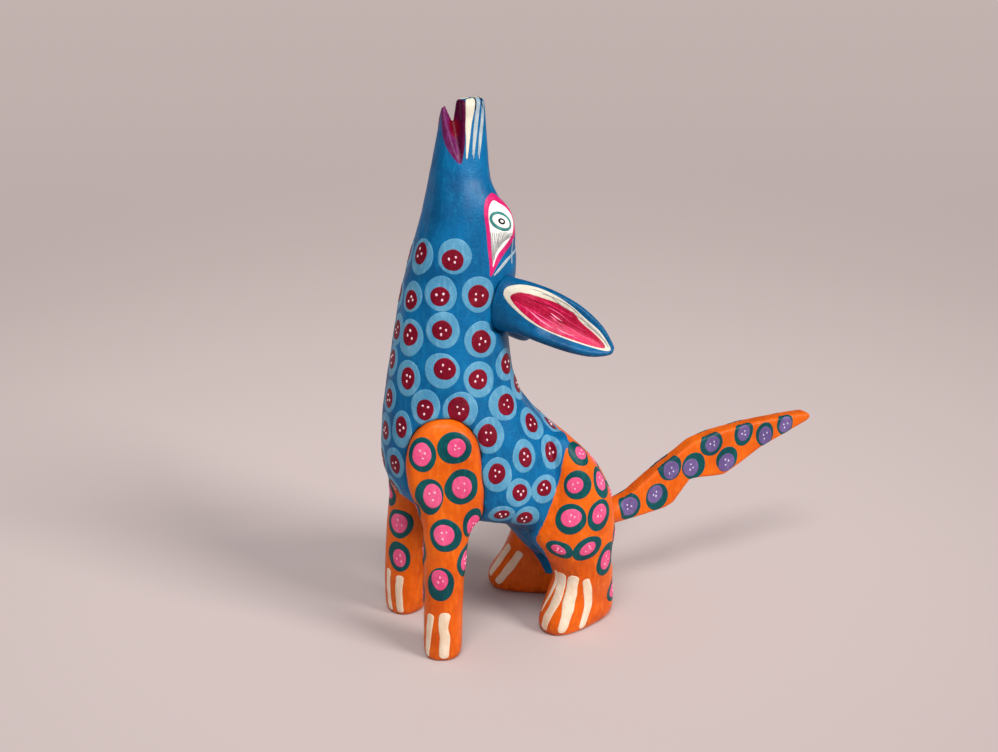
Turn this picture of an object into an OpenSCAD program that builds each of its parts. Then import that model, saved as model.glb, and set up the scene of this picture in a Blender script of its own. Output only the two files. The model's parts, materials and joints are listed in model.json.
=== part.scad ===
// Carved and painted wooden coyote, sitting and howling, about 190 mm high.
// One block holds the head, neck, belly, haunches and hind legs. The forelegs are carved apart
// and glued on flat seats at the shoulders over a dowel. The ears and the tail push onto
// dowels, so they twist and pull off.
// +Z is up, the chest faces -Y and the tail points to +Y. The figure's left side is +X.

/* [Figure] */
// Height from the feet to the tip of the nose
height = 190; // [160:1:220]
// Width of the head at the eyes
head_w = 25; // [22:0.5:28]
// Width of the neck below the ears
neck_w = 30; // [27:0.5:33]
// Width of the belly
belly_w = 45; // [42:0.5:48]

/* [Forelegs] */
// Thickness of a foreleg above its foot
foreleg_d = 13.4; // [12:0.1:14.5]
// Width of the oval shoulder
shoulder_w = 25; // [23:0.5:27]
// Height of the oval shoulder
shoulder_h = 35; // [32:0.5:36]
// How far a shoulder's seat is turned towards the chest
shoulder_turn = 22; // [16:1:26]
// Distance of the left forefoot from the middle plane
left_foot_x = 14.5; // [13:0.5:20]
// Distance of the right forefoot from the middle plane
right_foot_x = 22; // [14:0.5:23]

/* [Hind legs] */
// Thickness of a haunch
haunch_t = 19; // [17:0.5:20]
// How far the left toes point outwards
left_toe_out = 18; // [6:1:24]
// How far the right toes point outwards
right_toe_out = 31; // [20:1:36]

/* [Ears] */
// Height of an ear at its widest
ear_w = 18.5; // [16:0.5:20]
// Backward sweep of the left ear's dowel from straight out
left_ear_sweep = 36; // [32:1:42]
// Backward sweep of the right ear's dowel from straight out
right_ear_sweep = 41; // [32:1:42]
// Downward tilt of an ear's dowel
ear_droop = 9; // [5:1:15]
// Twist of the left ear about its dowel
left_ear_twist = 0; // [-10:1:10]
// Twist of the right ear about its dowel
right_ear_twist = -31; // [-36:1:0]

/* [Tail] */
// Thickness of the tail's blade
tail_t = 6; // [5:0.1:7]
// Upward tilt of the tail's dowel
tail_rise = 18; // [14:1:22]

/* [Dowels] */
// Diameter of the dowel in a shoulder
leg_peg_d = 5; // [4:0.5:6]
// Diameter of the dowel in an ear or the tail
peg_d = 4; // [3:0.5:4.5]
// Radial clearance of a dowel that turns and pulls out
peg_clearance = 0.05; // [0.02:0.01:0.1]
// Length of dowel in the block
peg_depth = 12; // [10:0.5:13]

/* [Hidden] */

// The outlines below are drawn for a figure 190 mm high, and k brings them to size. They count y
// from the nape, and nape_y then puts the origin under the middle of the whole length.
k = height / 190;
nape_y = -48;

ring_points = 32;
smooth_steps = 3;
peg_facets = 48;

// Ribs of the block from the nose down to the rump, each from its front or lower edge to its
// back or upper edge: [front y, front z, back y, back z, half width, squareness]
head_b = head_w / 2;
neck_b = neck_w / 2;
belly_b = belly_w / 2;
ribs = [
    [-18.4, 188.2, -7.6, 189.8, 3.8, 2.6],
    [-20.0, 186, -6.0, 188.4, 5.2, 2.8],
    [-20.7, 180, -5.4, 180, 6.1, 2.8],
    [-22.3, 172, -5.0, 172, 7.2, 2.8],
    [-23.6, 165, -4.5, 164.5, 8.4, 2.8],
    [-24.9, 158, -2.2, 158.5, head_b - 2, 2.8],
    [-26.4, 152, 1.0, 152.5, head_b - 0.6, 2.9],
    [-28.2, 146, 3.0, 146, head_b, 3.0],
    [-30.2, 140, 4.0, 138, head_b + 0.5, 2.9],
    [-32.8, 132, 3.8, 129, neck_b - 1.4, 2.6],
    [-35.8, 120, 1.6, 119, neck_b - 0.4, 2.4],
    [-38.4, 107, 2.4, 106, neck_b + 1, 2.2],
    [-40.8, 94, 5.8, 92.5, neck_b + 3, 2.1],
    [-42.4, 82, 13.2, 82, belly_b - 2.6, 2.1],
    [-42.6, 70, 25.4, 71, belly_b - 1, 2.1],
    [-39.5, 59.5, 35.4, 61, belly_b, 2.1],
    [-30.0, 51, 41, 53, belly_b, 2.1],
    [-14.0, 46, 43.6, 46.5, belly_b - 1, 2.1],
    [-1.5, 41.6, 44, 40.5, belly_b - 3, 2.1],
    [5.5, 34.5, 43, 34.5, belly_b - 7, 2.1],
    [10.5, 28, 40, 28, belly_b - 12, 2.1],
    [15, 24, 36, 24, belly_b - 17, 2.1],
];

// Slices of a hind leg on the left side, from the sole up. The foot's place and turn fade out
// towards the haunch, where the knee may be drawn back: [z, share of the foot's place, x, y,
// half length, half width, squareness]
haunch_b = haunch_t / 2;
haunch_x = 16.8;
haunch_y = 22;
function hind_slices(foot, turn, knee_back) = [for (s = [
    [0, 1, 0, 0, 15.0, 7.0, 2.6],
    [2, 1, 0, 0, 16.2, 7.9, 2.6],
    [6, 1, 0, 0.2, 16.2, 8.2, 2.5],
    [13, 0.9, 0, 1.4, 14.0, haunch_b - 1.4, 2.4],
    [21, 0.7, 0.4, 2.6, 12.0, haunch_b - 1, 2.2],
    [28, 0.4, 0.2, 1.8, 12.6, haunch_b - 0.5, 2.1],
    [35, 0.1, 0, 0.2, 15.4, haunch_b, 2.1],
    [41, 0, 0.2, -1.2, 16.6, haunch_b, 2.1],
    [50, 0, 0.2, 0.2, 13.6, haunch_b, 2.1],
    [60, 0, -0.6, -0.4, 10.2, haunch_b - 0.8, 2.1],
    [69, 0, -2.2, -3.4, 7.2, haunch_b - 2, 2.1],
    [75, 0, -4.2, -6.4, 4.2, haunch_b - 4, 2.1],
]) let (back = knee_back * (1 - s[1]) / 2) [
    s[0],
    haunch_x + (foot.x - haunch_x) * s[1] + s[2],
    haunch_y + (foot.y - haunch_y) * s[1] + s[3] + back,
    s[4] - back, s[5], turn * s[1], s[6]
]];

// Where the left and right feet stand, as x and y on their own side
hind_feet = [[13.2, 25.6], [18.4, 21.6]];
knees_back = [0, 4.2];
toes_out = [left_toe_out, right_toe_out];
forefeet = [[left_foot_x, -28.2], [right_foot_x, -29.4]];

// The middle of each shoulder's flat seat. Below the elbow a foreleg is round again.
seats = [[13.6, -26.4, 70.5], [13.6, -24.6, 69.5]];
elbow_z = 54;
glue_gap = 0.12;

// Slices of a foreleg, leaning from its foot to its shoulder, from the sole up. The shoulder is
// the shape above the elbow, out of the seat: [z, share of the lean, y, distance out of the seat,
// half length along the seat, half thickness, squareness]. The right leg bows forward.
shoulder_b = shoulder_w / 2;
shoulder_top = seats[0].z + shoulder_h / 2;
forelegs_b = [foreleg_d / 2, foreleg_d / 2 + 0.5];
forelegs_lead = [0, 1.5];
function foreleg_slices(side) = [for (b = [forelegs_b[side]], s = [
    [0, 0, 0, 0, b - 1.1, b - 1.1, 2.3],
    [1.6, 0.02, 0, 0, b - 0.3, b - 0.3, 2.3],
    [8, 0.11, 0, 0.3, b - 0.1, b - 0.1, 2.3],
    [20, 0.28, 0, 0.8, b, b, 2.3],
    [34, 0.48, 0.5, 1.4, b + 0.4, b, 2.3],
    [44, 0.62, 1.0, 1.9, b + 0.9, b, 2.3],
    [49, 0.7, 1.8, 2.1, b + 1.8, b - 0.1, 2.4],
    [53, 0.75, 2.6, 2.2, b + 3.8, b - 0.3, 2.5],
    [57, 0.81, 2.3, 2.2, b + 4.5, b - 0.4, 2.7],
    [62, 0.88, 1.2, 2.1, b + 5.6, b - 0.4, 3.4],
    [67, 0.95, 0.3, 1.9, shoulder_b - 0.2, b - 0.3, 4],
    [72, 1, 0, 1.7, shoulder_b, b - 0.2, 4.2],
    [77, 1, 0, 1.5, shoulder_b - 0.6, b - 0.3, 4.2],
    [81, 1, 0, 1.3, shoulder_b - 2.2, b - 0.7, 4],
    [84.4, 1, 0, 1.1, shoulder_b - 4.6, b - 1.5, 3.6],
    [86.8, 1, 0, 0.8, shoulder_b - 7.6, b - 2.8, 3],
    [shoulder_top, 1, 0, 0.4, 1.6, 1.4, 2.3],
]) let (
    foot = forefeet[side],
    seat = seats[side],
    lead = 4 * forelegs_lead[side] * s[1] * (1 - s[1])
) [
    s[0],
    foot.x + (seat.x - foot.x) * s[1] + s[3] * cos(shoulder_turn),
    foot.y + (seat.y - foot.y) * s[1] + s[2] - lead - s[3] * sin(shoulder_turn),
    s[4], s[5], -shoulder_turn, s[6]
]];

// The mouth is a notch across the tip, with its floor, its lower jaw and its upper jaw in the
// middle plane. On each side it is pared down to a corner, out past the side of the snout, and
// the lower jaw is left as a ridge. The sides are cut a little differently: [corner y, corner z,
// lower jaw y, upper jaw y].
mouth_floor = [-16.2, 181.9];
mouth_jaws_y = [-21.3, -14.2];
mouth_side_x = 9.5;
mouth_sides = [[-16.7, 165.6, -33.5, -14.4], [-15.2, 166, -32, -9.5]];
mouth_top_z = 193;

// Each brow and eye swells a little from the head.
eye_centre = [4.8, -5.0, 145.5];
eye_swell = [8.2, 7.9, 13];

// The left ear's dowel starts at the middle of its flat seat on the head.
ear_root = [11.0, -4.6, 123.5];

// Sections of an ear along its bent centreline, in a frame that starts at the seat with the
// dowel along x: [x, y, z, sweep, droop, turn, half height, half thickness, depth of the hollow]
ear_b = ear_w / 2;
ear_seat_r = ear_b + 0.4;
ear_slices = [
    [0, 0.8, 0, 0, 0, 0, ear_b, 6.2, 0],
    [2.5, 0.9, 0.3, 2, 2, -4, ear_b, 6.0, 0],
    [8.6, 2.3, 0.2, 18, 10, -16, ear_b - 0.4, 5.6, 0.7],
    [16, 6.6, -2.0, 27, 17, -26, ear_b - 0.3, 5.0, 3.6],
    [23.4, 11.2, -5.0, 28, 18, -30, ear_b - 1.2, 4.4, 3.8],
    [29.8, 15.4, -8.2, 28, 18, -32, ear_b - 3.5, 3.4, 2.7],
    [33.6, 17.8, -10.2, 28, 18, -32, ear_b - 6.4, 2.3, 1.4],
    [35.2, 18.8, -11, 28, 18, -32, 1.2, 1.1, 0.3],
];
// Half height of the hollow, as a share of the ear's
hollow_share = 0.84;
ear_sweeps = [left_ear_sweep, right_ear_sweep];
ear_twists = [left_ear_twist, right_ear_twist];
ear_peg_grip = 7;

// The tail's zig-zag blade, as y and z, and its round root.
tail_root = [0, 41.5, 33];
tail_root_r = 4.6;
tail_seat_r = 4.95;
tail_root_l = 9;
tail_outline = [
    [46.8, 38.6], [54, 41.4], [67, 50], [82, 58.6], [90, 60.6], [107, 62.4],
    [130, 63], [136.4, 62.8], [137.6, 61.2], [136, 59.6], [124, 55.2], [113.5, 51.4],
    [103.5, 45.8], [97, 42.6], [80.6, 43], [73.4, 34.6], [69.4, 33], [60, 31.8], [48.4, 30.6],
];
tail_peg_grip = 12;

leg_peg_grip = 7;
hole_spare = 0.5;
leg_peg_r = leg_peg_d / 2;
peg_r = peg_d / 2;
hole_r = peg_r + peg_clearance;

wood = [0.86, 0.74, 0.55];
blue = [0.02, 0.4, 0.66];
orange = [0.92, 0.43, 0.08];

// A point between p1 and p2 on the smooth curve through the four
function curve(p0, p1, p2, p3, t) = 0.5 * (2 * p1 + (p2 - p0) * t
    + (2 * p0 - 5 * p1 + 4 * p2 - p3) * t * t + (3 * p1 - p0 - 3 * p2 + p3) * t * t * t);
function smoothed(s) = [
    for (i = [0:len(s) - 2], j = [0:smooth_steps - 1])
        curve(s[max(i - 1, 0)], s[i], s[i + 1], s[min(i + 2, len(s) - 1)], j / smooth_steps),
    s[len(s) - 1],
];
function squared(v, e) = sign(v) * pow(abs(v), 2 / e);

// Rings of points: around a rib, around a level slice, and around an ear's section
function rib_ring(s) = [for (i = [0:ring_points - 1])
    let (a = 360 * i / ring_points, c = squared(cos(a), s[5]), w = squared(sin(a), s[5]))
    [s[4] * w, (s[0] + s[2] + (s[2] - s[0]) * c) / 2, (s[1] + s[3] + (s[3] - s[1]) * c) / 2]];
function slice_ring(s, grow = 0) = [for (i = [0:ring_points - 1])
    let (
        a = 360 * i / ring_points,
        l = (s[3] + grow) * squared(cos(a), s[6]),
        w = (s[4] + grow) * squared(sin(a), s[6])
    )
    [s[1] + l * sin(s[5]) + w * cos(s[5]), s[2] - l * cos(s[5]) + w * sin(s[5]), s[0]]];
function turned_z(p, a) = [p.x * cos(a) - p.y * sin(a), p.x * sin(a) + p.y * cos(a), p.z];
function turned_y(p, a) = [p.x * cos(a) + p.z * sin(a), p.y, p.z * cos(a) - p.x * sin(a)];
function turned_x(p, a) = [p.x, p.y * cos(a) - p.z * sin(a), p.y * sin(a) + p.z * cos(a)];
function ear_ring(s) = [for (i = [0:ring_points - 1])
    let (
        a = 360 * i / ring_points,
        scoop = sin(a) > 0 ? max(0, s[8] * (1 - pow(cos(a) / hollow_share, 2))) : 0,
        p = [0, scoop - s[7] * sin(a), s[6] * cos(a)]
    )
    [s[0], s[1], s[2]] + turned_z(turned_y(turned_x(p, s[5]), s[4]), s[3])];

// A closed skin over rings of points. Seen from the end that they lead to, each ring runs
// anticlockwise.
module skin(rings) {
    n = len(rings[0]);
    m = len(rings);
    sides = [for (i = [0:m - 2], j = [0:n - 1])
        [i * n + j, (i + 1) * n + j, (i + 1) * n + (j + 1) % n, i * n + (j + 1) % n]];
    ends = [[for (j = [0:n - 1]) j], [for (j = [0:n - 1]) m * n - 1 - j]];
    polyhedron([for (r = rings) each r], concat(sides, ends), convexity = 6);
}

// The right-hand parts (side 1) are built on the left (side 0) and mirrored.
sides = [0, 1];
module on_side(side) {
    mirror([side, 0, 0]) children();
}

module placed() {
    translate([0, nape_y * k, 0]) children();
}

// Frames of the seats: a shoulder's with z out of the seat, an ear's and the tail's with z
// along the dowel
module at_shoulder(side) {
    translate(seats[side] * k) rotate([0, 0, -shoulder_turn]) rotate([0, 90, 0])
        children();
}

module at_ear(side, twist = 0) {
    translate(ear_root * k) rotate([0, ear_droop, ear_sweeps[side]]) rotate([twist, 0, 0])
        children();
}

module at_tail() {
    translate(tail_root * k) rotate([tail_rise - 90, 0, 0]) children();
}

module peg(r, below, above) {
    translate([0, 0, -below]) cylinder(r = r, h = below + above, $fn = peg_facets);
}

// One solid mesh of everything inside, so that the round holes cut later stay true
module carved() {
    resize([0, 0, 0]) union() children();
}

// A foreleg in one piece with its shoulder. Above the elbow only the part outside the seat stays.
module leg_shape(side, grow = 0) {
    difference() {
        translate([0, 0, grow])
            skin([for (s = smoothed(foreleg_slices(side))) slice_ring(s, grow)]);
        translate([seats[side].x, seats[side].y, elbow_z]) rotate([0, 0, -shoulder_turn])
            translate([-40, -40, 0]) cube([40, 80, 60]);
    }
}

module mouth() {
    for (side = sides) on_side(side) hull() polyhedron(
        let (m = mouth_sides[side]) [
            [mouth_side_x, m[0], m[1]], [0, mouth_floor.x, mouth_floor.y],
            [mouth_side_x, m[2], mouth_top_z], [mouth_side_x, m[3], mouth_top_z],
            [0, mouth_jaws_y[0], mouth_top_z], [0, mouth_jaws_y[1], mouth_top_z],
        ],
        [[0, 1, 4, 2], [0, 3, 5, 1], [0, 2, 3], [2, 4, 5, 3], [1, 5, 4]]
    );
}

module block() {
    difference() {
        union() {
            skin([for (s = smoothed(ribs)) rib_ring(s)]);
            for (side = sides) on_side(side) {
                skin([for (s = smoothed(hind_slices(hind_feet[side], toes_out[side],
                    knees_back[side]))) slice_ring(s)]);
                translate(eye_centre) scale(eye_swell) sphere(1, $fn = 32);
            }
        }
        mouth();
    }
}

module body() {
    color(blue) placed() difference() {
        carved() difference() {
            scale(k) block();
            for (side = sides) on_side(side) scale(k) leg_shape(side, glue_gap);
        }
        for (side = sides) on_side(side) {
            at_shoulder(side) peg(leg_peg_r, peg_depth + hole_spare, 1);
            at_ear(side) rotate([0, 90, 0]) {
                peg(hole_r, peg_depth + hole_spare, 1);
                cylinder(r = ear_seat_r, h = 20, $fn = peg_facets);
            }
        }
        at_tail() {
            peg(hole_r, peg_depth + hole_spare, 1);
            cylinder(r = tail_seat_r, h = 20, $fn = peg_facets);
        }
    }
}

module foreleg(side) {
    color(orange) placed() on_side(side) difference() {
        carved() scale(k) leg_shape(side);
        at_shoulder(side) peg(leg_peg_r, 1, leg_peg_grip + hole_spare);
    }
}

module foreleg_peg(side) {
    color(wood) placed() on_side(side) at_shoulder(side)
        peg(leg_peg_r, peg_depth, leg_peg_grip);
}

module ear(side) {
    color(blue) placed() on_side(side) at_ear(side, ear_twists[side]) difference() {
        carved() scale(k) skin([for (s = smoothed(ear_slices)) ear_ring(s)]);
        rotate([0, 90, 0]) peg(hole_r, 1, ear_peg_grip + hole_spare);
    }
}

module ear_peg(side) {
    color(wood) placed() on_side(side) at_ear(side) rotate([0, 90, 0])
        peg(peg_r, peg_depth, ear_peg_grip);
}

module tail() {
    color(orange) placed() difference() {
        union() {
            translate([-tail_t / 2, 0, 0] * k) rotate([90, 0, 90])
                linear_extrude(tail_t * k) polygon(tail_outline * k);
            at_tail() cylinder(r = tail_root_r, h = tail_root_l * k, $fn = peg_facets);
        }
        at_tail() peg(hole_r, 1, tail_peg_grip + hole_spare);
    }
}

module tail_peg() {
    color(wood) placed() at_tail() peg(peg_r, peg_depth, tail_peg_grip);
}

body();
foreleg(0);  // left_foreleg
foreleg(1);  // right_foreleg
ear(0);  // left_ear
ear(1);  // right_ear
tail();
foreleg_peg(0);  // left_foreleg_peg
foreleg_peg(1);  // right_foreleg_peg
ear_peg(0);  // left_ear_peg
ear_peg(1);  // right_ear_peg
tail_peg();
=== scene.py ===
import json
import random
from math import cos, hypot, pi, radians, sin, sqrt

import bmesh
import bpy
import numpy as np
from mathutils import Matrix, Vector
from mathutils.bvhtree import BVHTree


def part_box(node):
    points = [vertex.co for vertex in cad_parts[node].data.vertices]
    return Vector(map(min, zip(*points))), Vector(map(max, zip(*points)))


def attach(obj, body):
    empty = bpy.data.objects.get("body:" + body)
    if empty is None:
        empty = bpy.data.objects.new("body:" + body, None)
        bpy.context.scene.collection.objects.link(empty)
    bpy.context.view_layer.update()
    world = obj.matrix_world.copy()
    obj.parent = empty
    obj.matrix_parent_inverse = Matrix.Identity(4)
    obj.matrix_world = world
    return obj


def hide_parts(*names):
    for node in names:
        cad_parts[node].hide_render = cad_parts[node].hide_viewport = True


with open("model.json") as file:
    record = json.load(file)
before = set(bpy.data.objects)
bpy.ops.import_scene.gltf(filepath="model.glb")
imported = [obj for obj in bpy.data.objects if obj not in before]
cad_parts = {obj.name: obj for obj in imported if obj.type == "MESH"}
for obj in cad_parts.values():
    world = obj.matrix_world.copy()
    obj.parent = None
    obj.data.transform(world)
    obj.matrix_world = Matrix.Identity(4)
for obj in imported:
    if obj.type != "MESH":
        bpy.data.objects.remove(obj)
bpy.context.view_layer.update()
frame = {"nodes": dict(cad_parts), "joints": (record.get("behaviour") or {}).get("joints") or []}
MM = 0.001
NAPE = np.array([0, -48, 0])
SIDES = {1: "left", -1: "right"}
VIEW_AZIMUTH, VIEW_ELEVATION = 66, 17
VIEW_DISTANCE, VIEW_HEIGHT, VIEW_LENS = 378.7, 94.7, 38.96
LAMP_DISTANCE = 1.2
FAR_OUT = 0.3
rng = random.Random(11)


# ---- camera, light and floor

def direction(azimuth, elevation):
    """Unit vector that points away from the figure, azimuth counted from -Y towards +X."""
    a, e = radians(azimuth), radians(elevation)
    return Vector((sin(a) * cos(e), -cos(a) * cos(e), sin(e)))


def placed(name, data):
    thing = bpy.data.objects.new(name, data)
    bpy.context.scene.collection.objects.link(thing)
    return thing


def aimed(name, data, aim, azimuth, elevation, distance):
    """A camera or lamp that looks at a point, given in mm, from some metres off."""
    thing = placed(name, data)
    away = direction(azimuth, elevation)
    thing.location = Vector(aim) * MM + away * distance
    thing.rotation_mode = "QUATERNION"
    thing.rotation_quaternion = away.to_track_quat("Z", "Y")
    return thing


def make_camera():
    data = bpy.data.cameras.new("camera")
    data.lens = VIEW_LENS
    data.clip_start, data.clip_end = 0.01, 20
    bpy.context.scene.camera = aimed("camera", data, (0, NAPE[1], VIEW_HEIGHT), VIEW_AZIMUTH,
                                     VIEW_ELEVATION, VIEW_DISTANCE * MM)


def add_lamp(name, kind, azimuth, elevation, power, aim):
    data = bpy.data.lights.new(name, kind)
    data.energy = power
    aimed(name, data, aim, azimuth, elevation, LAMP_DISTANCE)
    return data


def srgb(r, g, b):
    """A colour given in 0-255 display values, as the linear one that shaders take."""
    def one(v):
        v /= 255
        return v / 12.92 if v <= 0.04045 else ((v + 0.055) / 1.055) ** 2.4
    return (one(r), one(g), one(b), 1)


def make_stage():
    """A floor that curves up gently behind the figure and out of sight."""
    flat, reach, rise, steps = 0.5, 3.4, 0.55, 24
    near, half_width, sunk = -1.5, 3, 0.0002
    profile = [(near, 0.0)]
    for i in range(steps + 1):
        t = i / steps
        profile.append((flat + (reach - flat) * t, rise * t * t))
    back = -direction(VIEW_AZIMUTH, 0)
    side = Vector((-back.y, back.x, 0))
    verts = []
    for along, up in profile:
        for across in (-half_width, half_width):
            verts.append(back * along + side * across + Vector((0, 0, up - sunk)))
    faces = [(2 * i, 2 * i + 2, 2 * i + 3, 2 * i + 1) for i in range(len(profile) - 1)]
    mesh = bpy.data.meshes.new("floor")
    mesh.from_pydata([tuple(v) for v in verts], [], faces)
    mesh.shade_smooth()
    mat, _, shader = new_material("floor_paper")
    shader.inputs["Base Color"].default_value = srgb(199, 184, 181)
    shader.inputs["Roughness"].default_value = 0.95
    shader.inputs["Specular IOR Level"].default_value = 0.0
    mesh.materials.append(mat)
    placed("floor", mesh)


def make_light():
    """A wide soft sky, a broad lamp low on the figure's left, and a softer one over its brow."""
    world = bpy.data.worlds.new("studio")
    world.use_nodes = True
    bpy.context.scene.world = world
    world.cycles_visibility.glossy = False
    sky = world.node_tree.nodes["Background"]
    sky.inputs["Color"].default_value = (0.99, 0.99, 1.0, 1)
    sky.inputs["Strength"].default_value = 0.43
    key = add_lamp("key", "SUN", 121, 31, 2.6, NAPE)
    key.angle = radians(23)
    key.color = (1.0, 0.985, 0.965)
    brow = add_lamp("brow_light", "SPOT", 60, 52, 24, (-190, 45, 0))
    brow.shadow_soft_size = 0.2
    brow.spot_size = radians(52)
    brow.spot_blend = 1.0
    bpy.context.scene.view_settings.view_transform = "Standard"


# ---- carved surfaces

def mesh_arrays(mesh):
    co = np.empty(len(mesh.vertices) * 3)
    mesh.vertices.foreach_get("co", co)
    edges = np.empty(len(mesh.edges) * 2, int)
    mesh.edges.foreach_get("vertices", edges)
    return co.reshape(-1, 3), edges.reshape(-1, 2)


def vertex_normals(mesh):
    normals = np.empty(len(mesh.vertices) * 3)
    mesh.vertex_normals.foreach_get("vector", normals)
    return normals.reshape(-1, 3)


def neighbour_mean(values, edges, degree):
    total = np.zeros_like(values)
    for axis in range(values.shape[1]):
        column = values[:, axis]
        total[:, axis] = np.bincount(edges[:, 0], column[edges[:, 1]], len(values))
        total[:, axis] += np.bincount(edges[:, 1], column[edges[:, 0]], len(values))
    return total / degree[:, None]


def averaged(values, edges, degree, rounds):
    for _ in range(rounds):
        values = neighbour_mean(values, edges, degree)
    return values


def rounded(co, edges, degree, rounds):
    for _ in range(rounds):
        co = co + 0.5 * (neighbour_mean(co, edges, degree) - co)
    return co


def write_points(mesh, co):
    mesh.vertices.foreach_set("co", co.ravel())
    mesh.update()


def remeshed(source, voxel):
    """The mesh of an object made again from even small faces."""
    remesh = source.modifiers.new("remesh", "REMESH")
    remesh.mode = "VOXEL"
    remesh.voxel_size = voxel
    graph = bpy.context.evaluated_depsgraph_get()
    mesh = bpy.data.meshes.new_from_object(source.evaluated_get(graph))
    source.modifiers.clear()
    mesh.materials.clear()
    return mesh


def ramp(value, low, high):
    t = np.clip((value - low) / (high - low), 0, 1)
    return t * t * (3 - 2 * t)


def whittle(co, normals, spacing, depth, seed):
    """How far each point is pared towards the flat facet of its nearest knife cut."""
    most_picks = 6000
    cuts = []
    for i in np.random.default_rng(seed).permutation(len(co))[:most_picks]:
        if all(np.sum((co[i] - co[j]) ** 2) > spacing ** 2 for j in cuts):
            cuts.append(i)
    best = np.full(len(co), np.inf)
    owner = np.zeros(len(co), int)
    for j in cuts:
        away = np.sum((co - co[j]) ** 2, 1) + (spacing ** 2) * (1 - normals @ normals[j])
        nearer = away < best
        best[nearer], owner[nearer] = away[nearer], j
    over = np.sum((co - co[owner]) * normals[owner], 1)
    return np.clip(over, -depth, depth)


class Carving:
    """One CAD node as carved wood, sanded round but for its sharp places, with knife facets."""

    def __init__(self, node, body, slot, voxel, rounding, sharp, facets, material):
        name = f"carved_{node}"
        source = placed(name, frame["nodes"][node].data.copy())
        crisp = BVHTree.FromPolygons([v.co for v in source.data.vertices],
                                     [p.vertices for p in source.data.polygons])
        source.data = mesh = remeshed(source, voxel * MM)
        co, edges = mesh_arrays(mesh)
        degree = np.maximum(np.bincount(edges.ravel(), minlength=len(co)), 1)
        keep = np.zeros(len(co)) if sharp is None else sharp(co / MM)
        once = rounded(co, edges, degree, rounding)
        co = 2 * once - rounded(once, edges, degree, rounding)
        least_keep, softening = 0.02, 0.3
        for i in np.flatnonzero(keep > least_keep):
            co[i] += keep[i] * (np.array(crisp.find_nearest(Vector(co[i]))[0]) - co[i])
        co += softening * (neighbour_mean(co, edges, degree) - co)
        write_points(mesh, co)
        normals = vertex_normals(mesh)
        spacing, depth, share = facets
        shift = whittle(co, normals, spacing * MM, depth * MM, len(name))
        shift = averaged(shift[:, None], edges, degree, 5)
        co -= share * (1 - keep[:, None]) * shift * normals
        co[:, 2] = np.maximum(co[:, 2], 0)
        write_points(mesh, co)
        mesh.shade_smooth()
        self.mesh, self.co, self.body, self.slot = mesh, co, body, slot
        normals = averaged(vertex_normals(mesh), edges, degree, 3)
        self.normals = normals / np.linalg.norm(normals, axis=1)[:, None]
        self.faces = [tuple(p.vertices) for p in mesh.polygons]
        self.tree = BVHTree.FromPolygons([Vector(v) for v in co], self.faces)
        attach(source, body)
        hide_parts(node)
        mesh.materials.append(material)

    def normal(self, point, face):
        ids = list(self.faces[face])
        weight = 1 / (np.linalg.norm(self.co[ids] - np.array(point), axis=1) + 1e-6)
        return Vector(weight @ self.normals[ids]).normalized()

    def nearest(self, point):
        found, _, face, _ = self.tree.find_nearest(point)
        return found, self.normal(found, face)

    def seen(self, point, away):
        """The first surface met by a look at a point from far out along away."""
        found, _, face, _ = self.tree.ray_cast(point + away * FAR_OUT, -away)
        return (None, None) if found is None else (found, self.normal(found, face))

    def attribute(self, name, values):
        layer = self.mesh.attributes.new(name, "FLOAT", "POINT")
        layer.data.foreach_set("value", values.astype(np.float32))


# ---- paint laid on a surface

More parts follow.
